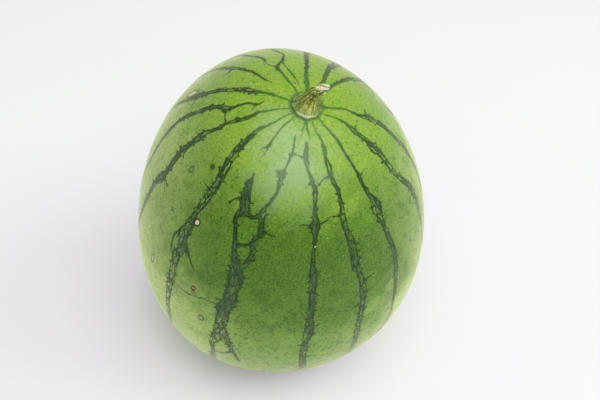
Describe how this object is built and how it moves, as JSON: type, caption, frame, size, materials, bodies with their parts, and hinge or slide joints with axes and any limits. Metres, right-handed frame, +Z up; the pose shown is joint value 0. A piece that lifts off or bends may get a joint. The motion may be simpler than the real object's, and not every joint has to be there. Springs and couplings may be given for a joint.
{
  "type": "watermelon",
  "caption": "Whole small oval watermelon with narrow netted dark stripes, the dried stub of its stalk on top and a small flat spot it rests on.",
  "frame": {"origin": "middle of the flat spot that the fruit rests on", "axes": "+Z up along the fruit's long axis; the stalk leans off the top towards -Y (front) and +X (right)"},
  "size_m": [0.1805, 0.1804, 0.229],
  "materials": {
    "rind": "smooth waxy rind, satin",
    "stalk": "dry and fibrous, matt"
  },
  "bodies": {
    "root": {"fruit": "rind", "stem": "stalk"}
  },
  "joints": []
}
